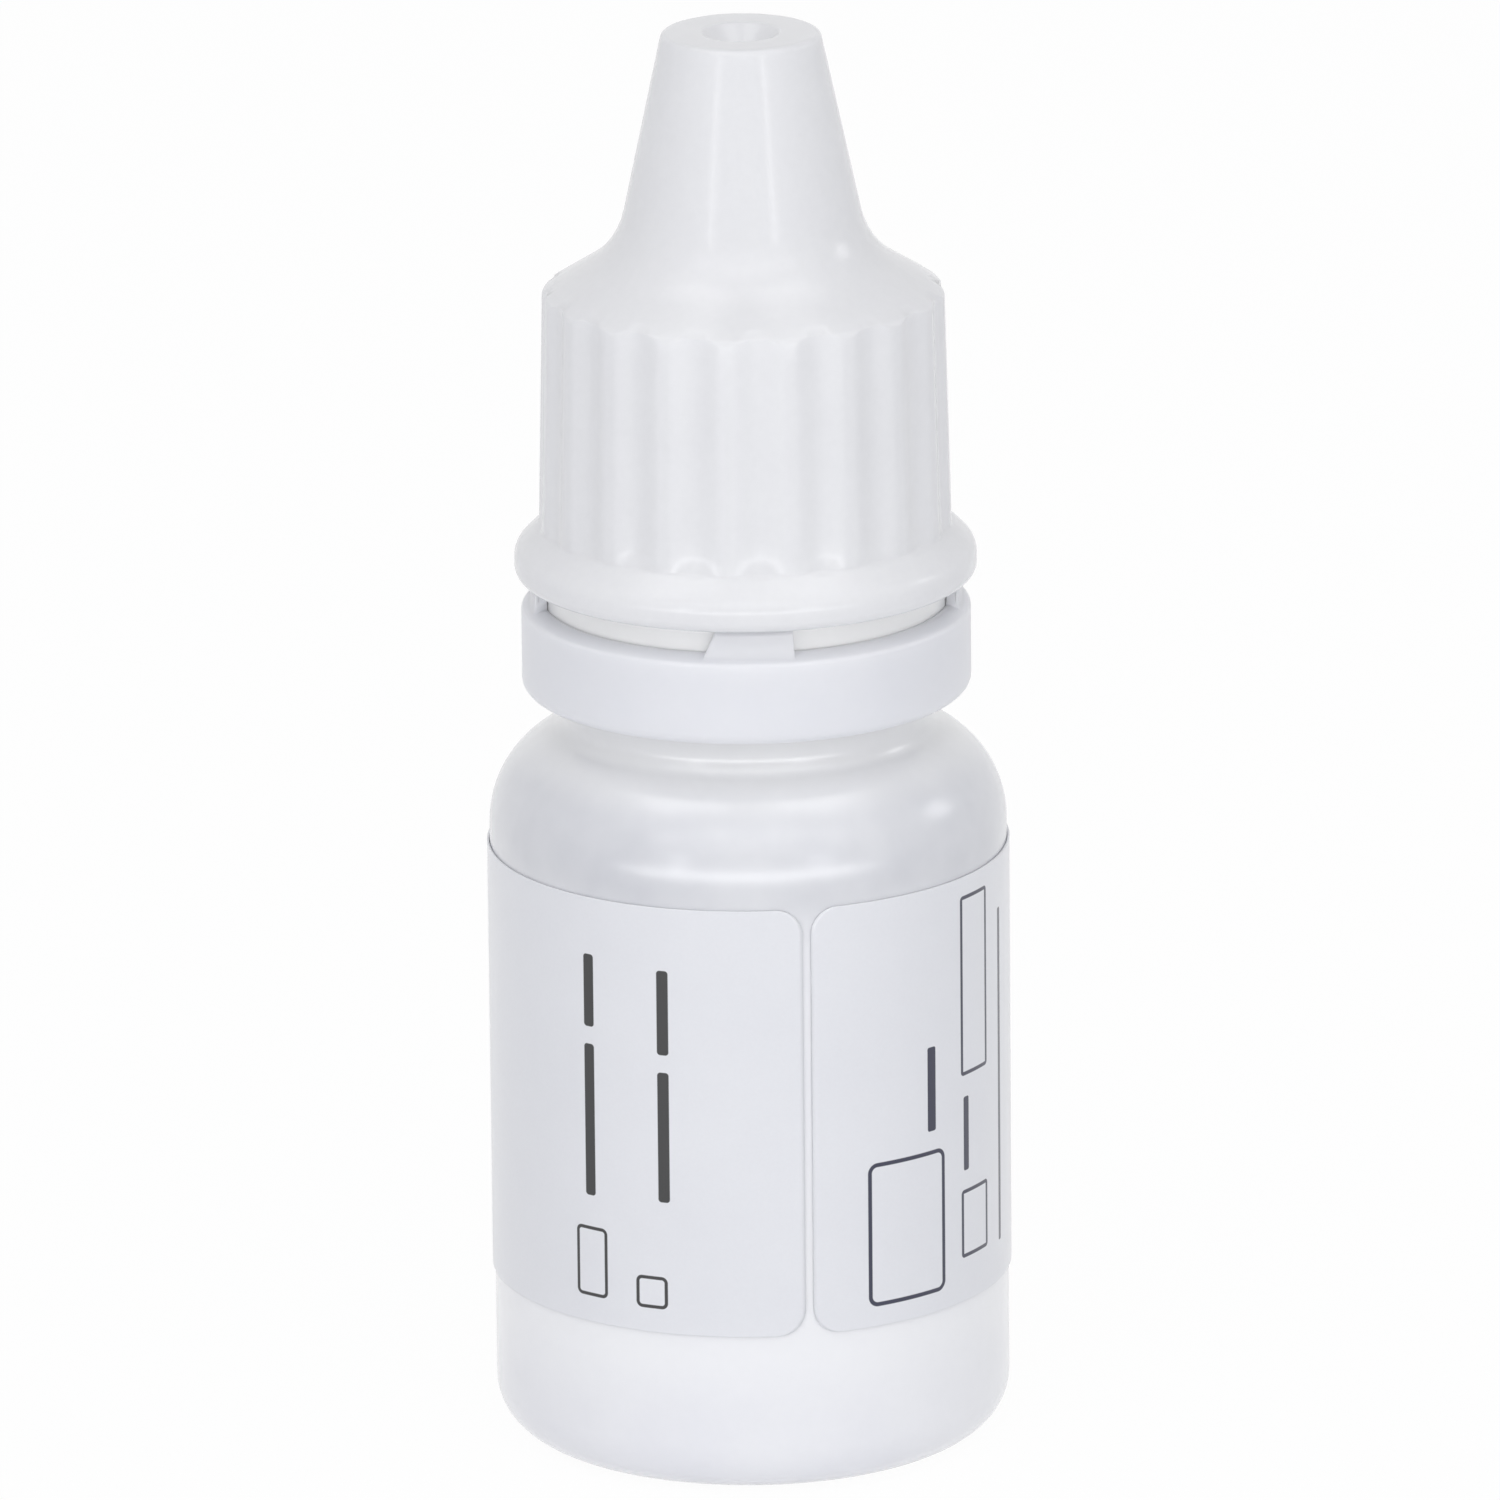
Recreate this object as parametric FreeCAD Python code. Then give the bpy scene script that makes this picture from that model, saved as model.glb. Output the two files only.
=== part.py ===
import FreeCAD
import Part
import math
import os

# Eye drop bottle, millimetres, +Z up, origin on the axis at the foot, front towards -Y.
# Heights run up from the foot; angles in plan run from the front, positive to the right.

# Body: straight wall, rolled shoulder, rounded base corner with a shallow push-up
body_radius = 12.5
body_wall = 0.9
shoulder_height = 33.14
shoulder_rise = 2.45
shoulder_rounding = 4.9
base_corner = 2.6
foot_width = 1.4
recess_run = 1.6
recess_depth = 0.7

# Neck: collar at its root, plain wall that carries the thread, catch bead that holds the tamper ring down
bore_radius = 5.5
neck_wall = 1.7
neck_length = 15.97
collar_projection = 1.8
collar_height = 2.4
collar_fillet = 1.2
catch_projection = 2.55
catch_height = 1.85
catch_flat = 1.6

# Tamper ring: band round the neck, an inner lip under the catch bead, lands and break bridges on top
ring_gap = 1.71
ring_height = 4.39
ring_wall = 0.96
ring_clearance = 0.12
ring_foot_rounding = 0.57
ring_top_slope_run = 0.86
ring_top_slope_rise = 0.33
ring_top_rounding = 0.25
lip_projection = 0.95
lip_height = 1.3
lip_ramp = 0.9
lip_clearance = 0.4
land_count = 4
land_start = -11.4
land_end = 12.8
land_setback = 0.4
land_ramp = 0.55
land_draw = 0.1
land_clearance = 0.08
bridge_start = -8.2
bridge_end = -1.4
bridge_width = 0.34
bridge_clearance = 0.05

# Cap: foot bead, ribbed skirt, low dome and a long hollow cone with a dished tip
window_height = 1.26
catch_clearance = 0.1
thread_room = 1.1
skirt_wall = 1.65
skirt_draft = 0.275
skirt_headroom = 4.44
foot_bead_projection = 1.18
foot_bead_height = 2.5
foot_bead_flat = 1.35
foot_bead_lower_rounding = 0.5
foot_bead_upper_rounding = 1.0
dome_rise = 2.25
dome_wall = 1.4
dome_edge_rounding = 0.4
dome_fillet = 4.2
cone_height = 12.8
cone_root_radius = 6.55
tip_radius = 3.81
tip_rounding = 0.35
cone_wall = 1.25
roof_thickness = 2.0
dish_radius = 1.88
dish_floor_radius = 1.0
dish_depth = 0.8
dish_rounding = 0.3
groove_count = 20
groove_phase = 3.8
groove_depth = 0.3
groove_radius = 1.8
groove_dip = 0.2

# Dropper insert: plug with sealing ribs, flange on the neck's rim and a tapered nozzle
plug_length = 6.0
plug_wall = 0.8
plug_relief = 0.15
plug_fit = 0.03
plug_lead = 0.4
plug_rib_count = 2
plug_rib_height = 0.7
plug_rib_flat_share = 0.5
flange_thickness = 0.9
flange_setback = 0.3
nozzle_root_radius = 4.3
nozzle_root_fillet = 0.9
nozzle_tip_radius = 1.6
nozzle_tip_bevel = 0.3
nozzle_wall = 1.0
nozzle_clearance = 1.5
channel_radius = 0.4
channel_length = 2.2
mouth_depth = 1.6

# Sealing pin inside the cap, which stops the nozzle's mouth
pin_radius = 0.45
pin_entry = 0.8
pin_clearance = 0.3

# Wrap-round label, butted to the right of the front
label_foot = 8.3
label_height = 21.35
label_thickness = 0.11
label_glue = 0.02
label_corner = 1.3
seam_angle = 12.6
seam_gap = 0.4

# Solution inside the body
fill_height = 25.0
solution_clearance = 0.05

# Run-out of cutting tools past the faces that they cut
overrun = 1.0

# Most of an edge that the two roundings at its ends may use up together
rounding_limit_share = 0.98

# Places worked out from the sizes above
shoulder_top = shoulder_height + shoulder_rise
neck_radius = bore_radius + neck_wall
collar_radius = neck_radius + collar_projection
collar_top = shoulder_top + collar_height
rim_height = shoulder_top + neck_length
catch_radius = neck_radius + catch_projection

ring_foot = shoulder_top + ring_gap
ring_top = ring_foot + ring_height
ring_inner = catch_radius + ring_clearance
ring_radius = ring_inner + ring_wall
land_radius = ring_radius - land_setback

cap_foot = ring_top + window_height
land_top = cap_foot - land_clearance
catch_top = cap_foot - catch_clearance
catch_foot = catch_top - catch_height
lip_top = catch_foot - lip_clearance

cap_inner = neck_radius + thread_room
skirt_radius = cap_inner + skirt_wall
foot_bead_radius = skirt_radius + foot_bead_projection
foot_bead_top = cap_foot + foot_bead_height
flange_top = rim_height + flange_thickness
skirt_top = flange_top + skirt_headroom
skirt_top_radius = skirt_radius - skirt_draft
tip_height = skirt_top + cone_height
roof_height = tip_height - dish_depth - roof_thickness
nozzle_tip = roof_height - nozzle_clearance


def spot(radius, height):
    return FreeCAD.Vector(radius, 0, height)


def outline_edges(corners):
    """Edges of a closed outline in the radius-height plane, each corner (radius, height, rounding)."""
    count = len(corners)
    places = [spot(corner[0], corner[1]) for corner in corners]
    reaches = []
    for i in range(count):
        back = (places[i - 1] - places[i]).normalize()
        ahead = (places[(i + 1) % count] - places[i]).normalize()
        half_angle = back.getAngle(ahead) / 2
        reaches.append(corners[i][2] / math.tan(half_angle))
    kept_shares = [1.0] * count
    for i in range(count):
        j = (i + 1) % count
        used = reaches[i] + reaches[j]
        room = rounding_limit_share * (places[j] - places[i]).Length
        if used > room:
            kept_shares[i] = min(kept_shares[i], room / used)
            kept_shares[j] = min(kept_shares[j], room / used)
    starts = []
    middles = []
    ends = []
    for i in range(count):
        back = (places[i - 1] - places[i]).normalize()
        ahead = (places[(i + 1) % count] - places[i]).normalize()
        half_angle = back.getAngle(ahead) / 2
        reach = reaches[i] * kept_shares[i]
        rounding = corners[i][2] * kept_shares[i]
        inward = (back + ahead).normalize() if reach else back
        starts.append(places[i] + back * reach)
        middles.append(places[i] + inward * (rounding / math.sin(half_angle) - rounding))
        ends.append(places[i] + ahead * reach)
    edges = []
    for i in range(count):
        if reaches[i]:
            edges.append(Part.Arc(starts[i], middles[i], ends[i]).toShape())
        edges.append(Part.LineSegment(ends[i], starts[(i + 1) % count]).toShape())
    return edges


def outline_face(corners):
    return Part.Face(Part.Wire(outline_edges(corners)))


def turned(corners, angle=360):
    """Solid of revolution about the bottle's axis."""
    return outline_face(corners).revolve(FreeCAD.Vector(0, 0, 0), FreeCAD.Vector(0, 0, 1), angle)


def faced_to(shape, angle):
    """Turns a shape built along +X to an angle in plan, counted from the front."""
    placed = shape.copy()
    placed.rotate(FreeCAD.Vector(0, 0, 0), FreeCAD.Vector(0, 0, 1), angle - 90)
    return placed


def shoulder_inside(radius):
    """Height of the shoulder's inner face, one wall thickness inside its outer face."""
    slope = shoulder_rise / (body_radius - collar_radius)
    return shoulder_height + slope * (body_radius - radius) - body_wall * math.hypot(1, slope)


def inner_corners(clearance):
    """Inside of the body from the axis on the floor to the shoulder, drawn in by a clearance."""
    inner_radius = body_radius - body_wall - clearance
    floor = body_wall + clearance
    recess_radius = body_radius - base_corner - foot_width - recess_run
    return [
        (0, floor + recess_depth - clearance, 0),
        (recess_radius, floor + recess_depth - clearance, 0),
        (recess_radius + recess_run, floor, 0),
        (inner_radius, floor, base_corner - body_wall),
    ]


def make_bottle():
    recess_radius = body_radius - base_corner - foot_width - recess_run
    inner_radius = body_radius - body_wall
    outside = [
        (0, recess_depth, 0),
        (recess_radius, recess_depth, 0),
        (recess_radius + recess_run, 0, 0),
        (body_radius, 0, base_corner),
        (body_radius, shoulder_height, shoulder_rounding),
        (collar_radius, shoulder_top, collar_fillet),
        (collar_radius, collar_top, 0),
        (neck_radius, collar_top, 0),
        (neck_radius, catch_foot, 0),
        (catch_radius, catch_foot, 0),
        (catch_radius, catch_foot + catch_flat, 0),
        (neck_radius, catch_top, 0),
        (neck_radius, rim_height, 0),
    ]
    inside = [
        (bore_radius, rim_height, 0),
        (bore_radius, shoulder_inside(bore_radius), 0),
        (inner_radius, shoulder_inside(inner_radius), shoulder_rounding - body_wall),
    ]
    return turned(outside + inside + inner_corners(0)[::-1])


def make_tamper_ring():
    slope_foot = ring_top - ring_top_slope_rise
    lip_radius = ring_inner - lip_projection
    band = turned([
        (ring_inner, ring_foot, 0),
        (ring_radius, ring_foot, ring_foot_rounding),
        (ring_radius, slope_foot, ring_top_rounding),
        (ring_radius - ring_top_slope_run, ring_top, 0),
        (ring_inner, ring_top, 0),
        (ring_inner, lip_top, 0),
        (lip_radius, lip_top, 0),
        (lip_radius, lip_top - lip_height, 0),
        (ring_inner, lip_top - lip_height - lip_ramp, 0),
    ])
    land_root = slope_foot + ring_top_slope_rise * land_setback / ring_top_slope_run
    land = turned([
        (ring_inner, slope_foot, 0),
        (land_radius, slope_foot, 0),
        (land_radius, land_root, 0),
        (land_radius - land_draw, land_top, 0),
        (ring_inner, land_top, 0),
    ], land_end - land_start)
    ramp = Part.Face(Part.makePolygon([
        FreeCAD.Vector(0, 0, land_root),
        FreeCAD.Vector(0, land_ramp, land_top),
        FreeCAD.Vector(0, land_ramp, land_top + overrun),
        FreeCAD.Vector(0, -overrun, land_top + overrun),
        FreeCAD.Vector(0, -overrun, land_root),
        FreeCAD.Vector(0, 0, land_root),
    ])).extrude(FreeCAD.Vector(ring_radius, 0, 0))
    land = land.cut(ramp)
    bridge_middle = (ring_inner + land_radius - land_draw) / 2
    bridge = turned([
        (bridge_middle - bridge_width / 2, slope_foot, 0),
        (bridge_middle + bridge_width / 2, slope_foot, 0),
        (bridge_middle + bridge_width / 2, cap_foot - bridge_clearance, 0),
        (bridge_middle - bridge_width / 2, cap_foot - bridge_clearance, 0),
    ], bridge_end - bridge_start)
    raised = []
    for i in range(land_count):
        turn = 360 * i / land_count
        raised.append(faced_to(land, land_start + turn))
        raised.append(faced_to(bridge, bridge_start + turn))
    return band.fuse(raised).removeSplitter()


def cone_radius_at(height):
    """Outside radius of the cap's cone."""
    return cone_root_radius - (cone_root_radius - tip_radius) * (height - skirt_top) / cone_height


def make_cap():
    dome_top = skirt_top + dome_rise
    dome_run = skirt_top_radius - cone_radius_at(dome_top)
    ceiling_edge = skirt_top + dome_rise * (skirt_top_radius - cap_inner) / dome_run - dome_wall
    ceiling_top = dome_top - dome_wall + dome_rise * cone_wall / dome_run
    roof_radius = cone_radius_at(roof_height) - cone_wall
    pin_tip = nozzle_tip - pin_entry
    shell = turned([
        (cap_inner, cap_foot, 0),
        (foot_bead_radius, cap_foot, foot_bead_lower_rounding),
        (foot_bead_radius, cap_foot + foot_bead_flat, foot_bead_upper_rounding),
        (skirt_radius, foot_bead_top, 0),
        (skirt_top_radius, skirt_top, dome_edge_rounding),
        (cone_radius_at(dome_top), dome_top, dome_fillet),
        (tip_radius, tip_height, tip_rounding),
        (dish_radius, tip_height, dish_rounding),
        (dish_floor_radius, tip_height - dish_depth, dish_rounding),
        (0, tip_height - dish_depth, 0),
        (0, pin_tip, 0),
        (pin_radius, pin_tip, 0),
        (pin_radius, roof_height, 0),
        (roof_radius, roof_height, 0),
        (cone_radius_at(ceiling_top) - cone_wall, ceiling_top, 0),
        (cap_inner, ceiling_edge, 0),
    ])
    sunk = groove_radius - groove_depth
    low = spot(skirt_radius + sunk, foot_bead_top - groove_dip)
    high = spot(skirt_top_radius + sunk, skirt_top)
    along = (high - low).normalize()
    groove = Part.makeCylinder(groove_radius, (high - low).Length + dome_rise + overrun, low, along)
    grooves = []
    for i in range(groove_count):
        grooves.append(faced_to(groove, groove_phase + 360 * i / groove_count))
    return shell.cut(grooves)


def make_dropper_insert():
    plug_foot = rim_height - plug_length
    plug_radius = bore_radius - plug_relief
    plug_inner = plug_radius - plug_wall
    rib_radius = bore_radius - plug_fit
    rib_step = plug_length / (plug_rib_count + 1)
    rib_half = plug_rib_height / 2
    mouth_radius = pin_radius + pin_clearance
    channel_top = nozzle_tip - mouth_depth
    channel_foot = channel_top - channel_length
    corners = [
        (plug_inner, plug_foot, 0),
        (plug_radius - plug_lead, plug_foot, 0),
        (plug_radius, plug_foot + plug_lead, 0),
    ]
    for i in range(plug_rib_count):
        middle = plug_foot + rib_step * (i + 1)
        corners += [
            (plug_radius, middle - rib_half, 0),
            (rib_radius, middle - rib_half * plug_rib_flat_share, 0),
            (rib_radius, middle + rib_half * plug_rib_flat_share, 0),
            (plug_radius, middle + rib_half, 0),
        ]
    corners += [
        (plug_radius, rim_height, 0),
        (neck_radius - flange_setback, rim_height, 0),
        (neck_radius - flange_setback, flange_top, 0),
        (nozzle_root_radius, flange_top, nozzle_root_fillet),
        (nozzle_tip_radius, nozzle_tip - nozzle_tip_bevel, 0),
        (nozzle_tip_radius - nozzle_tip_bevel, nozzle_tip, 0),
        (mouth_radius, nozzle_tip, 0),
        (channel_radius, channel_top, 0),
        (channel_radius, channel_foot, 0),
        (nozzle_root_radius - nozzle_wall, flange_top, 0),
        (plug_inner, rim_height - flange_thickness, 0),
    ]
    return turned(corners)


def make_label():
    inner = body_radius + label_glue
    outer = inner + label_thickness
    gap_angle = math.degrees(seam_gap / outer)
    top = label_foot + label_height
    sheet = turned([
        (inner, label_foot, 0),
        (outer, label_foot, 0),
        (outer, top, 0),
        (inner, top, 0),
    ], 360 - gap_angle)
    corner_edges = []
    for edge in sheet.Edges:
        ends = [vertex.Point for vertex in edge.Vertexes]
        if len(ends) == 2 and math.isclose((ends[0] - ends[1]).Length, label_thickness, rel_tol=1e-6):
            corner_edges.append(edge)
    sheet = sheet.makeFillet(label_corner, corner_edges)
    return faced_to(sheet, seam_angle + gap_angle / 2)


def make_solution():
    inner_radius = body_radius - body_wall - solution_clearance
    corners = inner_corners(solution_clearance)
    corners += [(inner_radius, fill_height, 0), (0, fill_height, 0)]
    return turned(corners)


pieces = {
    "bottle": make_bottle(),
    "dropper_insert": make_dropper_insert(),
    "cap": make_cap(),
    "tamper_ring": make_tamper_ring(),
    "label": make_label(),
    "solution": make_solution(),
}

os.makedirs("parts", exist_ok=True)
for name, shape in pieces.items():
    solids = len(shape.Solids)
    print(name, "valid", shape.isValid(), "solids", solids, "volume", round(shape.Volume, 1))
    shape.exportStep("parts/" + name + ".step")
print("height", round(tip_height, 2))
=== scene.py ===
import math

import bpy
import numpy as np
from mathutils import Matrix, Vector


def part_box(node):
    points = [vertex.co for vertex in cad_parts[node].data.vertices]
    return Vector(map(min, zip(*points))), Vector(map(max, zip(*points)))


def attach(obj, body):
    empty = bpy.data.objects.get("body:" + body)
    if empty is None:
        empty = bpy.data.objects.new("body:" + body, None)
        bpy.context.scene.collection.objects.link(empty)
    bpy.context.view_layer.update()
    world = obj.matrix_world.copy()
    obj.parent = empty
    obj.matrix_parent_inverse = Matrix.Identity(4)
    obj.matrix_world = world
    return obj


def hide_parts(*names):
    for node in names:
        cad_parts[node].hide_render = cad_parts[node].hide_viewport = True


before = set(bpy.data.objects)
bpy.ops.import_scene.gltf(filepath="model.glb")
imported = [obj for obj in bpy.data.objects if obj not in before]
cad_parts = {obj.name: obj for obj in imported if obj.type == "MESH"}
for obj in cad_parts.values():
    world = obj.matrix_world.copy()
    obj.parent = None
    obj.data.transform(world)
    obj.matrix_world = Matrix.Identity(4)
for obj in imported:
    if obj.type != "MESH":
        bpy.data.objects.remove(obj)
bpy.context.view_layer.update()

stageScene = bpy.context.scene
stageScene.view_settings.view_transform = "Standard"
mm = 0.001  # profiles below are in millimetres, meshes in metres
turn = 2 * math.pi


def nodeSizes(node):
    # radius, foot and top of a round node, in millimetres, from its box in the frame
    low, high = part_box(node)
    return {"radius": max(high.x, -low.x) / mm, "foot": low.z / mm, "top": high.z / mm}


bottleBox = nodeSizes("bottle")
capBox = nodeSizes("cap")
ringBox = nodeSizes("tamper_ring")
insertBox = nodeSizes("dropper_insert")
labelBox = nodeSizes("label")
solutionBox = nodeSizes("solution")
print("frame", sorted(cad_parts))


# profiles, grids and turned surfaces

def roundedProfile(corners, closed=False, arcSteps=7, run=0.8, merge=0.012, same=1e-9):
    # Corner rows are radius, height, rounding. Each rounding is a tangent arc, written as a rational
    # quadratic from tangent point to tangent point with the sine of the half corner angle as its weight;
    # straight runs are filled at steps of about run, and points closer than merge are left out.
    table = np.array(corners, float)
    spot = table[:, :2]
    back = np.roll(spot, 1, 0) - spot
    ahead = np.roll(spot, -1, 0) - spot
    back /= np.linalg.norm(back, axis=1)[:, None]
    ahead /= np.linalg.norm(ahead, axis=1)[:, None]
    half = np.arccos(np.clip((back * ahead).sum(1), -1, 1)) / 2
    reach = table[:, 2] / np.tan(half)
    if not closed:
        reach[[0, -1]] = 0
    t = np.linspace(0, 1, arcSteps)[None, :, None]
    first, second, third = (1 - t) ** 2, 2 * t * (1 - t) * np.sin(half)[:, None, None], t ** 2
    start = (spot + back * reach[:, None])[:, None]
    end = (spot + ahead * reach[:, None])[:, None]
    line = (start * first + spot[:, None] * second + end * third) / (first + second + third)
    line = line.reshape(-1, 2)
    if closed:
        line = np.vstack([line, line[:1]])
    length = np.r_[0, np.cumsum(np.linalg.norm(np.diff(line, axis=0), axis=1))]
    fresh = np.r_[True, np.diff(length) > same]
    line, length = line[fresh], length[fresh]
    gap = np.diff(length)
    pieces = np.maximum(1, np.ceil(gap / run)).astype(int)
    owner = np.repeat(np.arange(len(gap)), pieces)
    order = np.arange(len(owner)) - np.repeat(np.cumsum(pieces) - pieces, pieces)
    marks = np.r_[length[owner] + gap[owner] * order / pieces[owner], length[-1]]
    keep = np.r_[np.diff(marks) > merge, True]
    keep[0] = True
    marks = marks[keep]
    if closed:
        marks = marks[:-1]
    return np.c_[np.interp(marks, length, line[:, 0]), np.interp(marks, length, line[:, 1])]


def gridFaces(rows, columns, wrapRows, wrapColumns):
    # quads of a grid of points, row by row, joined round wherever a direction closes on itself
    ids = np.arange(rows * columns).reshape(rows, columns)
    if wrapRows:
        ids = np.vstack([ids, ids[:1]])
    if wrapColumns:
        ids = np.hstack([ids, ids[:, :1]])
    return np.stack([ids[:-1, :-1], ids[:-1, 1:], ids[1:, 1:], ids[1:, :-1]], -1).reshape(-1, 4)


def newPiece(name, points, faces, body, replaced=()):
    # points in millimetres, faces as index rows; the mesh goes into the frame's metres
    mesh = bpy.data.meshes.new(name)
    mesh.from_pydata((points * mm).tolist(), [], faces)
    mesh.validate()
    mesh.shade_smooth()
    piece = bpy.data.objects.new(name, mesh)
    stageScene.collection.objects.link(piece)
    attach(piece, body)
    if replaced:
        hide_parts(*replaced)
    print("piece", name, len(points), "points", len(faces), "faces")
    return piece


def turnedSurface(profile, angles, closed=False, shape=None):
    # A point at angle a is (radius sin a, -radius cos a, height): a profile of radius and height carried
    # round the axis from the front to the right. shape may change radius and height with the angle.
    # An open profile starts and ends on the axis, where each end is one point.
    inner = profile if closed else profile[1:-1]
    radius = np.repeat(inner[:, :1], len(angles), 1)
    height = np.repeat(inner[:, 1:], len(angles), 1)
    if shape:
        radius, height = shape(radius, height, angles)
    points = np.stack([radius * np.sin(angles), -radius * np.cos(angles), height], -1).reshape(-1, 3)
    rows, columns = radius.shape
    faces = gridFaces(rows, columns, closed, True).tolist()
    if not closed:
        foot, head = rows * columns, rows * columns + 1
        ends = np.array([[0, 0, profile[0, 1]], [0, 0, profile[-1, 1]]])
        points = np.vstack([points, ends])
        here = np.arange(columns)
        there = np.roll(here, -1)
        last = (rows - 1) * columns
        faces += np.c_[np.full(columns, foot), there, here].tolist()
        faces += np.c_[last + here, last + there, np.full(columns, head)].tolist()
    return points, faces


def evenAngles(count):
    return np.arange(count) * turn / count


def helixRidge(thread, wallRadius, depth, footHeight):
    # A thread: its trapezoid section (offset along the axis, share of the depth) is carried up a helix of
    # the screw's lead, and shrinks to nothing at both ends along a quarter sine.
    along = np.linspace(0, 1, thread["steps"])
    runOut = np.clip(np.minimum(along, 1 - along) * thread["turns"] * 360 / thread["runOut"], 0, 1)
    grow = np.sin(runOut * math.pi / 2)[:, None]
    end = thread["endWidthShare"]
    offset = np.array(thread["sectionOffset"])[None, :] * (end + (1 - end) * grow)
    share = np.array(thread["sectionShare"])[None, :]
    radius = wallRadius + depth * (share * grow - thread["rootShare"])
    angle = (thread["startAngle"] + along * thread["turns"] * turn)[:, None]
    height = footHeight + thread["lead"] * thread["turns"] * along[:, None] + offset
    points = np.stack([radius * np.sin(angle), -radius * np.cos(angle), height], -1)
    rows, columns = height.shape
    faces = gridFaces(rows, columns, False, True)
    if depth > 0:
        faces = faces[:, ::-1]
    lids = [np.arange(columns), (rows - 1) * columns + np.arange(columns)[::-1]]
    if depth > 0:
        lids = [lid[::-1] for lid in lids]
    return points.reshape(-1, 3), faces.tolist() + [lid.tolist() for lid in lids]


# nodes shared by the materials

def putNode(tree, kind, inputs=None, **settings):
    # adds a node; each input is a value or another node's output
    node = tree.nodes.new(kind)
    for key, value in settings.items():
        setattr(node, key, value)
    for socket, source in (inputs or {}).items():
        if isinstance(source, bpy.types.NodeSocket):
            tree.links.new(source, node.inputs[socket])
        else:
            node.inputs[socket].default_value = source
    return node


def newGroup(name, inputs, outputs):
    tree = bpy.data.node_groups.new(name, "ShaderNodeTree")
    for label, kind, value in inputs:
        socket = tree.interface.new_socket(name=label, in_out="INPUT", socket_type="NodeSocket" + kind)
        socket.default_value = value
    for label, kind in outputs:
        tree.interface.new_socket(name=label, in_out="OUTPUT", socket_type="NodeSocket" + kind)
    return tree, tree.nodes.new("NodeGroupInput").outputs, tree.nodes.new("NodeGroupOutput").inputs


def mathNode(tree, operation, first, second):
    return putNode(tree, "ShaderNodeMath", {0: first, 1: second}, operation=operation).outputs["Value"]


def vectorNode(tree, operation, *sources):
    return putNode(tree, "ShaderNodeVectorMath", dict(enumerate(sources)), operation=operation).outputs


skinNoise = {
    "cloudDetail": 3.0, "cloudRoughness": 0.55, "cloudRange": (0.32, 0.68),
    "grainDetail": 2.0, "grainRoughness": 0.6, "grainRange": (0.3, 0.7),
}


def makeMouldSkin(s):
    # Moulded plastic: a slow cloudiness, a fine spark-eroded grain, and a roughness that follows both
    tree, given, result = newGroup(
        "mouldSkin",
        [("Cloud Scale", "Float", 120.0), ("Grain Scale", "Float", 4000.0),
         ("Roughness Low", "Float", 0.3), ("Roughness High", "Float", 0.45)],
        [("Cloud", "Float"), ("Grain", "Float"), ("Roughness", "Float"), ("Height", "Float")])
    place = putNode(tree, "ShaderNodeTexCoord").outputs["Object"]
    noises, masks = {}, {}
    for kind in ("cloud", "grain"):
        noises[kind] = putNode(tree, "ShaderNodeTexNoise", {
            "Vector": place, "Scale": given[kind.title() + " Scale"],
            "Detail": s[kind + "Detail"], "Roughness": s[kind + "Roughness"]}).outputs["Fac"]
        low, high = s[kind + "Range"]
        mask = putNode(tree, "ShaderNodeMapRange",
                       {"Value": noises[kind], "From Min": low, "From Max": high})
        masks[kind] = mask.outputs["Result"]
        tree.links.new(masks[kind], result[kind.title()])
    rough = putNode(tree, "ShaderNodeMapRange", {
        "Value": mathNode(tree, "ADD", masks["cloud"], masks["grain"]), "From Max": float(len(masks)),
        "To Min": given["Roughness Low"], "To Max": given["Roughness High"]})
    tree.links.new(rough.outputs["Result"], result["Roughness"])
    tree.links.new(noises["grain"], result["Height"])
    return tree


mouldSkin = makeMouldSkin(skinNoise)


def colourEnds(node):
    # a colour Mix node's factor, first and second colour, and result
    colours = [socket for socket in node.inputs if socket.type == "RGBA"]
    return node.inputs["Factor"], colours[0], colours[1], next(o for o in node.outputs if o.type == "RGBA")


def mixColour(tree, factor, first, second, kind="MIX"):
    node = putNode(tree, "ShaderNodeMix", data_type="RGBA", blend_type=kind)
    share, one, two, result = colourEnds(node)
    for socket, source in ((share, factor), (one, first), (two, second)):
        if isinstance(source, bpy.types.NodeSocket):
            tree.links.new(source, socket)
        else:
            socket.default_value = source
    return result


def heightRamp(tree, stops):
    # colour by height above the foot, in millimetres, eased from stop to stop
    place = putNode(tree, "ShaderNodeTexCoord").outputs["Object"]
    height = putNode(tree, "ShaderNodeSeparateXYZ", {0: place}).outputs["Z"]
    low, high = stops[0][0], stops[-1][0]
    share = putNode(tree, "ShaderNodeMapRange",
                    {"Value": height, "From Min": low * mm, "From Max": high * mm})
    ramp = putNode(tree, "ShaderNodeValToRGB", {"Fac": share.outputs["Result"]})
    ramp.color_ramp.interpolation = "EASE"
    marks = ramp.color_ramp.elements
    while len(marks) < len(stops):
        marks.new(0.5)
    for mark, (up, tone) in zip(marks, stops):
        mark.position = (up - low) / (high - low)
        mark.color = tone
    return ramp.outputs["Color"]


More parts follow.
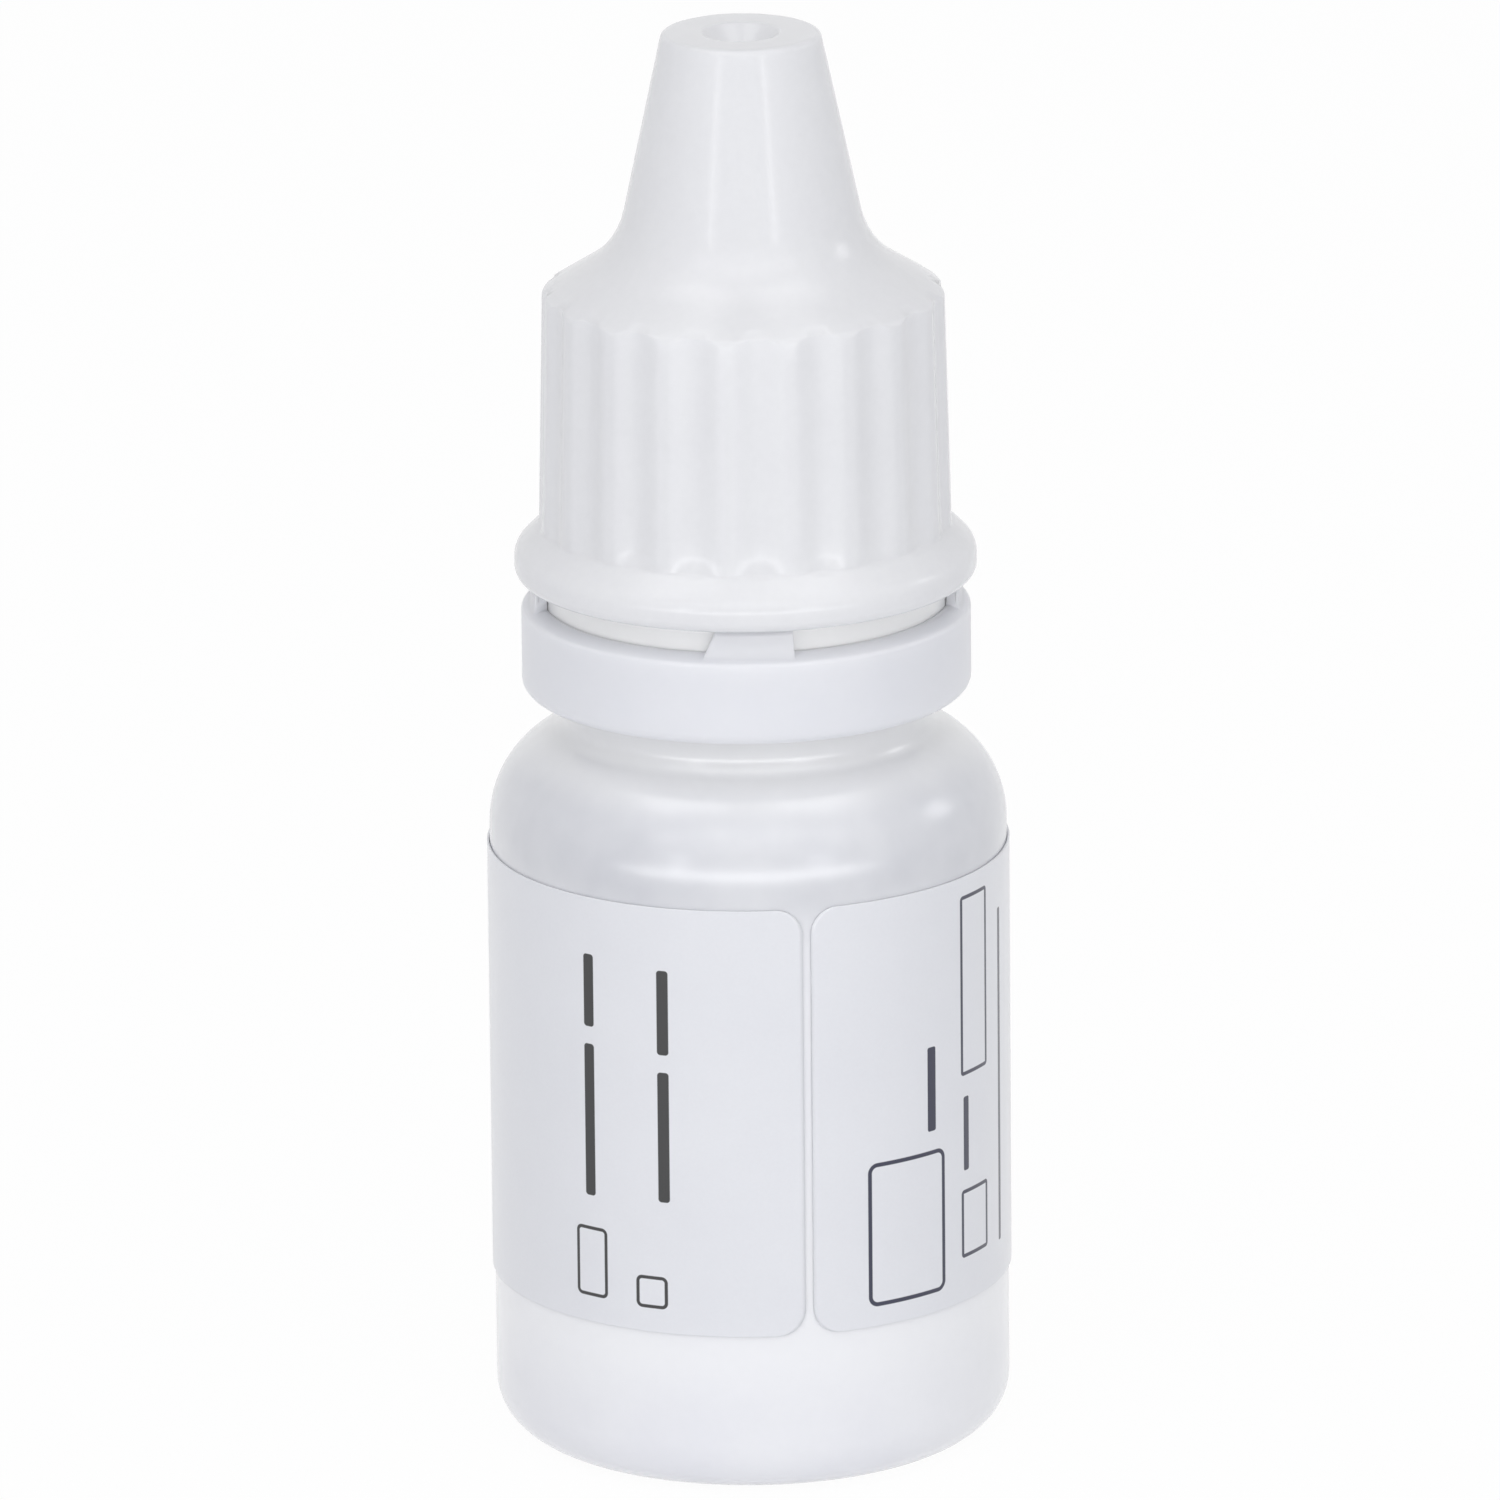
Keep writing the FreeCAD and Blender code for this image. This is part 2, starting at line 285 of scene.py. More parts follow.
def mouldedPlastic(name, look):
    # Principled plastic: a tone, or tones by height that may hold painted light and shade, clouded towards a
    # second one and sprinkled with grain, over a fine bump
    material = bpy.data.materials.new(name)
    material.use_nodes = True
    tree = material.node_tree
    shader = tree.nodes["Principled BSDF"]
    for socket, value in look["shader"].items():
        shader.inputs[socket].default_value = value
    skin = putNode(tree, "ShaderNodeGroup", node_tree=mouldSkin)
    for socket, value in look["skin"].items():
        skin.inputs[socket].default_value = value
    # tones by height may hold painted light: the bottle's pale neck is painted against the shade under the
    # ring
    tone = heightRamp(tree, look["tonesWithPaintedLight"]) if "tonesWithPaintedLight" in look else look["tone"]
    cloud = mathNode(tree, "MULTIPLY", skin.outputs["Cloud"], look["cloud"])
    speck = mathNode(tree, "MULTIPLY", skin.outputs["Grain"], look["speck"])
    colour = mixColour(tree, cloud, tone, look["cloudTone"])
    colour = mixColour(tree, speck, colour, look["speckTone"], "MULTIPLY")
    tree.links.new(colour, shader.inputs["Base Color"])
    tree.links.new(skin.outputs["Roughness"], shader.inputs["Roughness"])
    bump = putNode(tree, "ShaderNodeBump", {"Height": skin.outputs["Height"], "Strength": look["bump"],
                                            "Distance": look["bumpDepth"] * mm})
    tree.links.new(bump.outputs["Normal"], shader.inputs["Normal"])
    return material


def dress(piece, material):
    piece.data.materials.clear()
    piece.data.materials.append(material)


# bottle: shell and neck thread

bottleSizes = {
    "wall": 0.9, "baseCorner": 2.6, "footWidth": 1.4, "recessRun": 1.6, "recessDepth": 0.7,
    "recessRounding": 0.9, "shoulderHeight": 33.14, "shoulderRise": 2.45, "shoulderRounding": 4.9,
    "neckRadius": 7.2, "boreRadius": 5.5, "rimRounding": 0.35,
    "collarRadius": 9.0, "collarTop": 37.99, "collarFillet": 1.2, "collarEdge": 0.3, "boreFillet": 1.0,
    "catchRadius": 9.75, "catchFoot": 41.0, "catchFlat": 1.75, "catchHeight": 1.85, "catchRounding": 0.15,
    "neckFoot": 0.2, "catchRoot": 0.1, "angles": 224, "arcSteps": 12,
}
bottleLook = {
    # colour by height, partly painted light: darker towards the foot, pale where the solution backs the
    # wall, a painted grey band below the shoulder standing for light seen through the milky wall, and a
    # painted pale collar and neck that lift the shade under the ring and in its windows
    "tonesWithPaintedLight": [(0.0, (0.82, 0.825, 0.865, 1)), (3.5, (0.84, 0.845, 0.885, 1)), (7.5, (0.90, 0.905, 0.935, 1)),
              (27.0, (0.88, 0.885, 0.92, 1)), (30.5, (0.64, 0.65, 0.69, 1)),
              (33.3, (0.66, 0.67, 0.71, 1)), (35.5, (0.87, 0.875, 0.89, 1)), (41.0, (0.96, 0.96, 0.95, 1)),
              (51.6, (0.96, 0.96, 0.95, 1))],
    "cloud": 0.35, "cloudTone": (0.94, 0.945, 0.955, 1),
    "speck": 0.04, "speckTone": (0.75, 0.76, 0.76, 1), "bump": 0.05, "bumpDepth": 0.01,
    "skin": {"Cloud Scale": 140.0, "Grain Scale": 1700.0, "Roughness Low": 0.21, "Roughness High": 0.265},
    "shader": {"Subsurface Weight": 0.15, "Subsurface Radius": (1.0, 1.0, 1.0), "Subsurface Scale": 0.6 * mm,
               "IOR": 1.51, "Specular IOR Level": 0.5, "Coat Weight": 0.6, "Coat Roughness": 0.24},
}


def bottleProfile(s):
    outer, rim = bottleBox["radius"], bottleBox["top"]
    inner = outer - s["wall"]
    recess = outer - s["baseCorner"] - s["footWidth"] - s["recessRun"]
    shoulderTop = s["shoulderHeight"] + s["shoulderRise"]
    slope = s["shoulderRise"] / (outer - s["collarRadius"])

    def underShoulder(radius):
        return s["shoulderHeight"] + slope * (outer - radius) - s["wall"] * math.hypot(1, slope)

    outside = [
        (0, s["recessDepth"], 0),
        (recess, s["recessDepth"], s["recessRounding"]),
        (recess + s["recessRun"], 0, s["recessRounding"]),
        (outer, 0, s["baseCorner"]),
        (outer, s["shoulderHeight"], s["shoulderRounding"]),
        (s["collarRadius"], shoulderTop, s["collarFillet"]),
        (s["collarRadius"], s["collarTop"], s["collarEdge"]),
        (s["neckRadius"], s["collarTop"], s["neckFoot"]),
        (s["neckRadius"], s["catchFoot"], s["catchRoot"]),
        (s["catchRadius"], s["catchFoot"], s["catchRounding"]),
        (s["catchRadius"], s["catchFoot"] + s["catchFlat"], s["catchRounding"]),
        (s["neckRadius"], s["catchFoot"] + s["catchHeight"], s["catchRoot"]),
        (s["neckRadius"], rim, s["rimRounding"]),
    ]
    inside = [
        (s["boreRadius"], rim, s["rimRounding"]),
        (s["boreRadius"], underShoulder(s["boreRadius"]), s["boreFillet"]),
        (inner, underShoulder(inner), s["shoulderRounding"] - s["wall"]),
        (inner, s["wall"], s["baseCorner"] - s["wall"]),
        (recess + s["recessRun"], s["wall"], s["recessRounding"]),
        (recess, s["wall"] + s["recessDepth"], s["recessRounding"]),
        (0, s["wall"] + s["recessDepth"], 0),
    ]
    return roundedProfile(outside + inside, arcSteps=s["arcSteps"])


points, faces = turnedSurface(bottleProfile(bottleSizes), evenAngles(bottleSizes["angles"]))
bottleShell = newPiece("bottle_shell", points, faces, "bottle", ["bottle"])
milkyPlastic = mouldedPlastic("milkyPlastic", bottleLook)
dress(bottleShell, milkyPlastic)

neckThread = {
    # runOut in degrees, startAngle in radians
    "lead": 3.0, "turns": 1.6, "steps": 260, "runOut": 28.0, "startAngle": 0.6, "depth": 0.7, "foot": 44.9,
    "sectionOffset": (-0.72, -0.30, -0.16, 0.16, 0.30, 0.72), "sectionShare": (0, 0.92, 1, 1, 0.92, 0),
    "rootShare": 0.08, "endWidthShare": 0.25,
}
points, faces = helixRidge(neckThread, bottleSizes["neckRadius"], neckThread["depth"], neckThread["foot"])
neckThreadPiece = newPiece("neck_thread", points, faces, "bottle")
dress(neckThreadPiece, milkyPlastic)


# tamper ring under the cap

ringSizes = {
    "inner": 9.79, "bandTop": 41.69, "footRounding": 0.57, "slopeRun": 0.86, "slopeRise": 0.33,
    "slopeRounding": 0.25, "lipRadius": 8.92, "lipTop": 40.6, "lipHeight": 1.3, "lipRamp": 0.9,
    "landSetback": 0.40, "landTop": 42.87, "landDraw": 0.10, "landCount": 4,
    "landKnots": (-11.4, -8.3, 12.45, 12.8), "bridgeKnots": (-8.3, -8.0, -1.6, -1.3), "bridgeWidth": 0.34,
    "footInner": 0.12, "lipSeat": 0.05, "lipEdge": 0.1, "lipFoot": 0.2,
    # edges from outside in: how far inwards, share of the rise
    "landEdge": ((0.0, 0.0), (0.01, 0.8), (0.04, 0.96), (0.08, 1.0)),
    "bridgeEdge": ((-0.02, 0.0), (0.0, 0.04), (0.03, 0.85), (0.09, 1.0)),
    "boreEdge": ((0.03, 1.0), (0.01, 0.92), (0.0, 0.8)),
    "angles": 288, "kneeSpan": 0.12, "angleMerge": 0.04, "angleDigits": 3,
    "landSlack": 0.02, "boreSlack": 0.01, "topSlack": 1e-6,
}
ringLook = {
    "tone": (0.80, 0.81, 0.85, 1), "cloud": 0.5, "cloudTone": (0.84, 0.845, 0.875, 1),
    "speck": 0.02, "speckTone": (0.7, 0.7, 0.72, 1), "bump": 0.05, "bumpDepth": 0.01,
    "skin": {"Cloud Scale": 160.0, "Grain Scale": 2000.0, "Roughness Low": 0.285, "Roughness High": 0.335},
    "shader": {"Subsurface Weight": 0.6, "Subsurface Radius": (1.0, 1.0, 1.0), "Subsurface Scale": 1.0 * mm,
               "IOR": 1.51, "Specular IOR Level": 0.5},
}


def ringSurface(s):
    # Band: a closed loop of radius and height carried round. Over each land the top rows rise by the land's
    # height, and over each bridge the middle top rows rise on to the cap, both by straight steps in angle.
    outer, foot = ringBox["radius"], ringBox["foot"]
    landRadius = outer - s["landSetback"]
    middle = (s["inner"] + landRadius - s["landDraw"]) / 2
    half = s["bridgeWidth"] / 2
    top, slopeIn = s["bandTop"], outer - s["slopeRun"]
    slopeFoot = top - s["slopeRise"]
    band = roundedProfile([
        (s["inner"], foot, s["footInner"]),
        (outer, foot, s["footRounding"]),
        (outer, slopeFoot, s["slopeRounding"]),
        (slopeIn, top, 0),
        (s["inner"], top, 0),
        (s["inner"], s["lipTop"], s["lipSeat"]),
        (s["lipRadius"], s["lipTop"], s["lipEdge"]),
        (s["lipRadius"], s["lipTop"] - s["lipHeight"], s["lipFoot"]),
        (s["inner"], s["lipTop"] - s["lipHeight"] - s["lipRamp"], s["lipFoot"]),
    ], closed=True)
    # radius, share of the land's rise, share of the bridge's rise
    crown = np.array(
        [(landRadius - inset, share, 0) for inset, share in s["landEdge"]]
        + [(middle + half - inset, 1, share) for inset, share in s["bridgeEdge"]]
        + [(middle - half + inset, 1, share) for inset, share in reversed(s["bridgeEdge"])]
        + [(s["inner"] + inset, share, 0) for inset, share in s["boreEdge"]])
    onSlope = top - s["slopeRise"] * np.clip((crown[:, :1] - slopeIn) / s["slopeRun"], 0, 1)
    crown = np.hstack([crown[:, :1], onSlope, crown[:, 1:]])
    isTop = (band[:, 0] < landRadius + s["landSlack"]) & (band[:, 0] > s["inner"] - s["boreSlack"])
    isTop &= band[:, 1] > slopeFoot
    slopeLine = np.interp(band[:, 0], (s["inner"], slopeIn, outer), (top, top, slopeFoot))
    isTop &= band[:, 1] > slopeLine - s["topSlack"]
    firstTop = int(np.argmax(isTop))
    lastTop = len(band) - int(np.argmax(isTop[::-1]))
    below = np.c_[band, np.zeros((len(band), 2))]
    rows = np.vstack([below[:firstTop], crown, below[lastTop:]])
    pitch = 360 / s["landCount"]
    knots = np.array(s["landKnots"] + s["bridgeKnots"])
    steps = np.arange(s["landCount"])[:, None] * pitch
    fine = np.concatenate([knots - s["kneeSpan"], knots, knots + s["kneeSpan"]])[None, :] + steps
    degrees = np.r_[np.arange(s["angles"]) * 360 / s["angles"], fine.ravel() % 360]
    degrees = np.unique(np.round(degrees, s["angleDigits"]))
    degrees = degrees[np.r_[True, np.diff(degrees) > s["angleMerge"]]]
    inPitch = (degrees + pitch / 2) % pitch - pitch / 2
    landRise = np.interp(inPitch, s["landKnots"], (0, 1, 1, 0))
    bridgeRise = np.interp(inPitch, s["bridgeKnots"], (0, 1, 1, 0)) * (ringBox["top"] - s["landTop"])
    radius = rows[:, :1] - rows[:, 2:3] * s["landDraw"] * landRise * (rows[:, :1] > middle + half)
    height = rows[:, 1:2] + rows[:, 2:3] * landRise * (s["landTop"] - rows[:, 1:2])
    height = height + rows[:, 3:4] * bridgeRise
    angle = np.radians(degrees)
    points = np.stack([radius * np.sin(angle), -radius * np.cos(angle), height], -1)
    return points.reshape(-1, 3), gridFaces(*radius.shape, True, True).tolist()


points, faces = ringSurface(ringSizes)
ringBand = newPiece("ring_band", points, faces, "tamper_ring", ["tamper_ring"])
dress(ringBand, mouldedPlastic("ringPlastic", ringLook))


# screw cap and its inner thread

capSizes = {
    "inner": 8.3, "skirtRadius": 9.95, "skirtTop": 56.9, "skirtTopRadius": 9.675, "beadFlat": 1.35,
    "beadTop": 45.45, "beadLower": 0.5, "beadUpper": 1.0, "beadFillet": 0.25, "domeRise": 2.25,
    "domeWall": 1.4, "domeEdge": 0.4, "domeFillet": 4.2, "innerFillet": 0.5, "coneRoot": 6.55,
    "tipRadius": 3.81, "tipRounding": 0.35, "coneWall": 1.25, "roofThickness": 2.0, "dishRadius": 1.88,
    "dishFloor": 1.0, "dishDepth": 0.8, "dishRounding": 0.3, "pinRadius": 0.45, "pinTip": 64.6,
    "pinRounding": 0.25, "grooves": 20, "groovePhase": 3.8, "grooveDepth": 0.26, "grooveWidth": 2.7,
    "grooveDip": 0.2, "grooveRunOut": 0.5, "grooveReach": 0.4, "footInner": 0.15, "angles": 480,
    "beadRowShares": (0.55, 0.65, 0.74, 0.82, 0.89),
}
capLook = {
    "tone": (0.81, 0.813, 0.833, 1), "cloud": 0.5, "cloudTone": (0.845, 0.85, 0.865, 1),
    "speck": 0.05, "speckTone": (0.7, 0.7, 0.7, 1), "bump": 0.05, "bumpDepth": 0.01,
    "skin": {"Cloud Scale": 160.0, "Grain Scale": 2200.0, "Roughness Low": 0.17, "Roughness High": 0.22},
    "shader": {"Subsurface Weight": 0.25, "Subsurface Radius": (1.0, 1.0, 1.0), "Subsurface Scale": 0.9 * mm,
               "IOR": 1.5, "Specular IOR Level": 0.35},
}


def capProfile(s):
    top = capBox["top"]
    height = top - s["skirtTop"]

    def cone(z):
        return s["coneRoot"] - (s["coneRoot"] - s["tipRadius"]) * (z - s["skirtTop"]) / height

    domeTop = s["skirtTop"] + s["domeRise"]
    run = s["skirtTopRadius"] - cone(domeTop)
    ceilingEdge = s["skirtTop"] + s["domeRise"] * (s["skirtTopRadius"] - s["inner"]) / run - s["domeWall"]
    ceilingTop = domeTop - s["domeWall"] + s["domeRise"] * s["coneWall"] / run
    roof = top - s["dishDepth"] - s["roofThickness"]
    inside = [
        (0, s["pinTip"], 0),
        (s["pinRadius"], s["pinTip"], s["pinRounding"]),
        (s["pinRadius"], roof, s["pinRounding"]),
        (cone(roof) - s["coneWall"], roof, s["innerFillet"]),
        (cone(ceilingTop) - s["coneWall"], ceilingTop, s["innerFillet"]),
        (s["inner"], ceilingEdge, s["innerFillet"]),
        (s["inner"], capBox["foot"], s["footInner"]),
    ]
    knee = np.array([capBox["radius"], capBox["foot"] + s["beadFlat"]])
    slope = np.array([s["skirtRadius"], s["beadTop"]]) - knee
    outside = [
        (capBox["radius"], capBox["foot"], s["beadLower"]),
        (*knee, s["beadUpper"]),
        *((*(knee + slope * share), 0) for share in s["beadRowShares"]),
        (s["skirtRadius"], s["beadTop"], s["beadFillet"]),
        (s["skirtTopRadius"], s["skirtTop"], s["domeEdge"]),
        (cone(domeTop), domeTop, s["domeFillet"]),
        (s["tipRadius"], top, s["tipRounding"]),
        (s["dishRadius"], top, s["dishRounding"]),
        (s["dishFloor"], top - s["dishDepth"], s["dishRounding"]),
        (0, top - s["dishDepth"], 0),
    ]
    return roundedProfile(inside + outside)


def fluted(radius, height, angles):
    # Finger grooves: from just below the bead's top the radius is held under the skirt's line less a hollow,
    # (1 - share squared) squared across the groove's width, and the hold fades in over the run-out.
    s = capSizes
    pitch = turn / s["grooves"]
    away = (angles - math.radians(s["groovePhase"]) + pitch / 2) % pitch - pitch / 2
    share = np.clip(away * s["skirtRadius"] / (s["grooveWidth"] / 2), -1, 1)
    hollow = (1 - share ** 2) ** 2
    slope = (s["skirtTopRadius"] - s["skirtRadius"]) / (s["skirtTop"] - s["beadTop"])
    skirt = s["skirtRadius"] + slope * (height - s["beadTop"])
    rise = np.clip((height - s["beadTop"] + s["grooveDip"]) / s["grooveRunOut"], 0, 1)
    rise = rise * rise * (3 - 2 * rise)
    low = radius - (s["grooveDepth"] + np.maximum(radius - skirt, 0)) * hollow * rise
    high = np.minimum(radius, skirt - s["grooveDepth"] * hollow)
    held = np.where(height > s["beadTop"] + s["grooveRunOut"], high, low)
    outer = (radius > s["inner"] + s["grooveReach"]) & (height > s["beadTop"] - s["grooveDip"])
    return np.where(outer, held, radius), height


points, faces = turnedSurface(capProfile(capSizes), evenAngles(capSizes["angles"]), shape=fluted)
capShell = newPiece("cap_shell", points, faces, "cap", ["cap"])
whitePlastic = mouldedPlastic("whitePlastic", capLook)
dress(capShell, whitePlastic)

capThread = dict(neckThread, depth=-0.72, foot=46.4)  # stands inwards from the bore
points, faces = helixRidge(capThread, capSizes["inner"], capThread["depth"], capThread["foot"])
capThreadPiece = newPiece("cap_thread", points, faces, "cap")
dress(capThreadPiece, whitePlastic)


# dropper insert in the neck

insertSizes = {
    "plugRadius": 5.35, "plugWall": 0.8, "plugLead": 0.4, "ribRadius": 5.47, "ribHalf": 0.35, "ribs": 2,
    "ribFlat": 0.5, "flangeThickness": 0.9, "flangeEdge": 0.25, "nozzleRoot": 4.3, "nozzleFillet": 0.9,
    "nozzleTip": 1.6, "tipRounding": 0.25, "nozzleWall": 1.0, "mouthRadius": 0.75, "mouthDepth": 1.6,
    "channelRadius": 0.4, "channelLength": 2.2, "plugEdge": 0.05, "ribEdge": 0.03,
    "flangeFoot": 0.06, "boreEdge": 0.1, "angles": 128,
}
insertLook = {
    "tone": (0.82, 0.83, 0.85, 1), "cloud": 0.5, "cloudTone": (0.87, 0.88, 0.89, 1),
    "speck": 0.05, "speckTone": (0.7, 0.7, 0.7, 1), "bump": 0.05, "bumpDepth": 0.01,
    "skin": {"Cloud Scale": 200.0, "Grain Scale": 5000.0, "Roughness Low": 0.285, "Roughness High": 0.36},
    "shader": {"Subsurface Weight": 0.45, "Subsurface Radius": (1.0, 1.0, 1.0), "Subsurface Scale": 1.0 * mm,
               "IOR": 1.51},
}


def insertProfile(s):
    foot, tip, rim = insertBox["foot"], insertBox["top"], bottleBox["top"]
    inner = s["plugRadius"] - s["plugWall"]
    flangeTop = rim + s["flangeThickness"]
    corners = [
        (inner, foot, s["plugEdge"]),
        (s["plugRadius"] - s["plugLead"], foot, s["plugEdge"]),
        (s["plugRadius"], foot + s["plugLead"], s["plugEdge"]),
    ]
    for i in range(s["ribs"]):
        middle = foot + (rim - foot) / (s["ribs"] + 1) * (i + 1)
        flat = s["ribHalf"] * s["ribFlat"]
        corners += [
            (s["plugRadius"], middle - s["ribHalf"], s["ribEdge"]),
            (s["ribRadius"], middle - flat, s["ribEdge"]),
            (s["ribRadius"], middle + flat, s["ribEdge"]),
            (s["plugRadius"], middle + s["ribHalf"], s["ribEdge"]),
        ]
    channelTop = tip - s["mouthDepth"]
    corners += [
        (s["plugRadius"], rim, s["ribEdge"]),
        (insertBox["radius"], rim, s["flangeFoot"]),
        (insertBox["radius"], flangeTop, s["flangeEdge"]),
        (s["nozzleRoot"], flangeTop, s["nozzleFillet"]),
        (s["nozzleTip"], tip, s["tipRounding"]),
        (s["mouthRadius"], tip, s["boreEdge"]),
        (s["channelRadius"], channelTop, s["boreEdge"]),
        (s["channelRadius"], channelTop - s["channelLength"], s["boreEdge"]),
        (s["nozzleRoot"] - s["nozzleWall"], flangeTop, s["boreEdge"]),
        (inner, rim - s["flangeThickness"], s["boreEdge"]),
    ]
    return roundedProfile(corners, closed=True)


points, faces = turnedSurface(insertProfile(insertSizes), evenAngles(insertSizes["angles"]), closed=True)
dropper = newPiece("dropper", points, faces, "bottle", ["dropper_insert"])
dress(dropper, mouldedPlastic("nozzlePlastic", insertLook))


# the drops inside the bottle

solutionSizes = {
    "clearance": 0.05, "meniscusRise": 0.45, "meniscusRun": 2.2, "kneeRunShare": 0.25, "kneeFallShare": 0.75,
    "rimEdge": 0.03, "kneeRounding": 0.5, "levelRounding": 1.0, "angles": 128,
}
solutionLook = {
    "shader": {"Base Color": (0.96, 0.98, 1.0, 1), "Transmission Weight": 1.0, "IOR": 1.335},
    "rippleScale": 160.0, "rippleDetail": 1.0, "roughness": (0.01, 0.03), "ripple": 0.04, "rippleDepth": 0.2,
}


def solutionProfile(s):
    b = bottleSizes
    wall = b["wall"] + s["clearance"]
    recess = bottleBox["radius"] - b["baseCorner"] - b["footWidth"] - b["recessRun"]
    floor = b["wall"] + b["recessDepth"]
    outer = solutionBox["radius"]
    level = solutionBox["top"]
    return roundedProfile([
        (0, floor + s["clearance"], 0),
        (recess, floor + s["clearance"], b["recessRounding"]),
        (recess + b["recessRun"], wall, b["recessRounding"]),
        (outer, wall, b["baseCorner"] - b["wall"]),
        (outer, level, s["rimEdge"]),
        (outer - s["meniscusRun"] * s["kneeRunShare"], level - s["meniscusRise"] * s["kneeFallShare"],
         s["kneeRounding"]),
        (outer - s["meniscusRun"], level - s["meniscusRise"], s["levelRounding"]),
        (0, level - s["meniscusRise"], 0),
    ])


points, faces = turnedSurface(solutionProfile(solutionSizes), evenAngles(solutionSizes["angles"]))
dropsSolution = newPiece("drops_solution", points, faces, "bottle", ["solution"])


def clearLiquid(name, look):
    # watery liquid with the least ripple on its surface
    material = bpy.data.materials.new(name)
    material.use_nodes = True
    tree = material.node_tree
    shader = tree.nodes["Principled BSDF"]
    for socket, value in look["shader"].items():
        shader.inputs[socket].default_value = value
    place = putNode(tree, "ShaderNodeTexCoord").outputs["Object"]
    ripple = putNode(tree, "ShaderNodeTexNoise", {
        "Vector": place, "Scale": look["rippleScale"], "Detail": look["rippleDetail"]}).outputs["Fac"]
    low, high = look["roughness"]
    rough = putNode(tree, "ShaderNodeMapRange", {"Value": ripple, "To Min": low, "To Max": high})
    tree.links.new(rough.outputs["Result"], shader.inputs["Roughness"])
    bump = putNode(tree, "ShaderNodeBump", {
        "Height": ripple, "Strength": look["ripple"], "Distance": look["rippleDepth"] * mm})
    tree.links.new(bump.outputs["Normal"], shader.inputs["Normal"])
    return material


dress(dropsSolution, clearLiquid("clearLiquid", solutionLook))


# wrap-round label

labelSizes = {
    "thickness": 0.11, "corner": 1.3, "seamAngle": 12.6, "seamGap": 0.4, "columns": 360,
    "cornerRows": 12, "rows": 28, "mapSpan": 100.0, "inkEdge": 0.03,
}
ink = {"navy": (0.010, 0.012, 0.045, 1), "grey": (0.012, 0.012, 0.014, 1)}
filledLine = 100.0  # wider than any box
# printed boxes in millimetres round from the seam and up from the label's foot:
# low round, low up, high round, high up, corner, line width (0 is filled)
labelPrint = {
    "navy": [
        (2.8, 1.0, 7.4, 8.2, 0.5, 0.18), (6.3, 9.2, 6.8, 13.4, 0.1, 0), (8.7, 11.4, 11.1, 20.4, 0.2, 0.16),
        (8.7, 2.2, 11.1, 5.6, 0.2, 0.16), (8.9, 6.6, 9.3, 10.3, 0.1, 0), (12.6, 2.0, 12.9, 18.8, 0.1, 0),
        (26.0, 0.0, 31.0, 21.4, 0.0, 0), (32.2, 0.0, 32.8, 21.4, 0.0, 0),
        (36.0, 3.0, 38.4, 15.5, 0.2, 0), (40.2, 3.0, 40.8, 18.0, 0.1, 0), (42.0, 3.0, 42.6, 16.6, 0.1, 0),
        (43.8, 3.0, 44.4, 11.4, 0.1, 0),
    ],
    "grey": [
        (67.2, 6.4, 67.75, 14.0, 0.15, 0), (67.2, 14.9, 67.75, 18.5, 0.15, 0),
        (71.2, 6.6, 71.75, 13.1, 0.15, 0), (71.2, 14.0, 71.75, 18.2, 0.15, 0),
        (66.6, 1.3, 68.4, 4.8, 0.3, 0.14), (70.0, 1.2, 71.6, 2.8, 0.3, 0.14),
        (47.8, 3.0, 48.05, 18.4, 0.05, 0), (49.2, 3.0, 49.45, 17.2, 0.05, 0),
        (50.6, 3.0, 50.85, 18.0, 0.05, 0), (52.0, 3.0, 52.25, 15.1, 0.05, 0),
        (53.4, 3.0, 53.65, 17.9, 0.05, 0), (54.8, 3.0, 55.05, 9.3, 0.05, 0),
    ],
}


def labelSheet(s):
    # Sheet: (distance round, height up) bent on to the body's cylinder. Each row's two ends draw in near the
    # top and the foot along the corner's quarter circle.
    inner = labelBox["radius"] - s["thickness"]
    height = labelBox["top"] - labelBox["foot"]
    width = turn * inner - s["seamGap"]
    quarter = s["corner"] * (1 - np.cos(np.linspace(0, math.pi / 2, s["cornerRows"])))
    middle = np.linspace(s["corner"], height - s["corner"], s["rows"])
    up = np.r_[quarter[:-1], middle, (height - quarter[::-1])[1:]]
    depth = np.clip(s["corner"] - np.minimum(up, height - up), 0, s["corner"])
    inset = s["corner"] - np.sqrt(s["corner"] ** 2 - depth ** 2)
    share = np.linspace(0, 1, s["columns"])
    around = inset[:, None] + share[None, :] * (width - 2 * inset[:, None])
    rise = np.repeat(up[:, None], s["columns"], 1)
    angle = math.radians(s["seamAngle"]) + (around + s["seamGap"] / 2) / inner
    points = np.stack([inner * np.sin(angle), -inner * np.cos(angle), labelBox["foot"] + rise], -1)
    flat = np.stack([around, rise], -1)
    return points.reshape(-1, 3), gridFaces(*around.shape, False, False), flat.reshape(-1, 2)


points, faces, flat = labelSheet(labelSizes)
labelPiece = newPiece("label_sheet", points, faces.tolist(), "bottle", ["label"])
flatMap = labelPiece.data.uv_layers.new(name="flatLabel")  # round and up, as shares of the map's span
corner = np.empty(len(labelPiece.data.loops), np.int32)
labelPiece.data.loops.foreach_get("vertex_index", corner)
flatMap.data.foreach_set("uv", (flat[corner] / labelSizes["mapSpan"]).astype(np.float32).ravel())
thick = labelPiece.modifiers.new("thickness", "SOLIDIFY")
thick.thickness = labelSizes["thickness"] * mm
thick.offset = 1


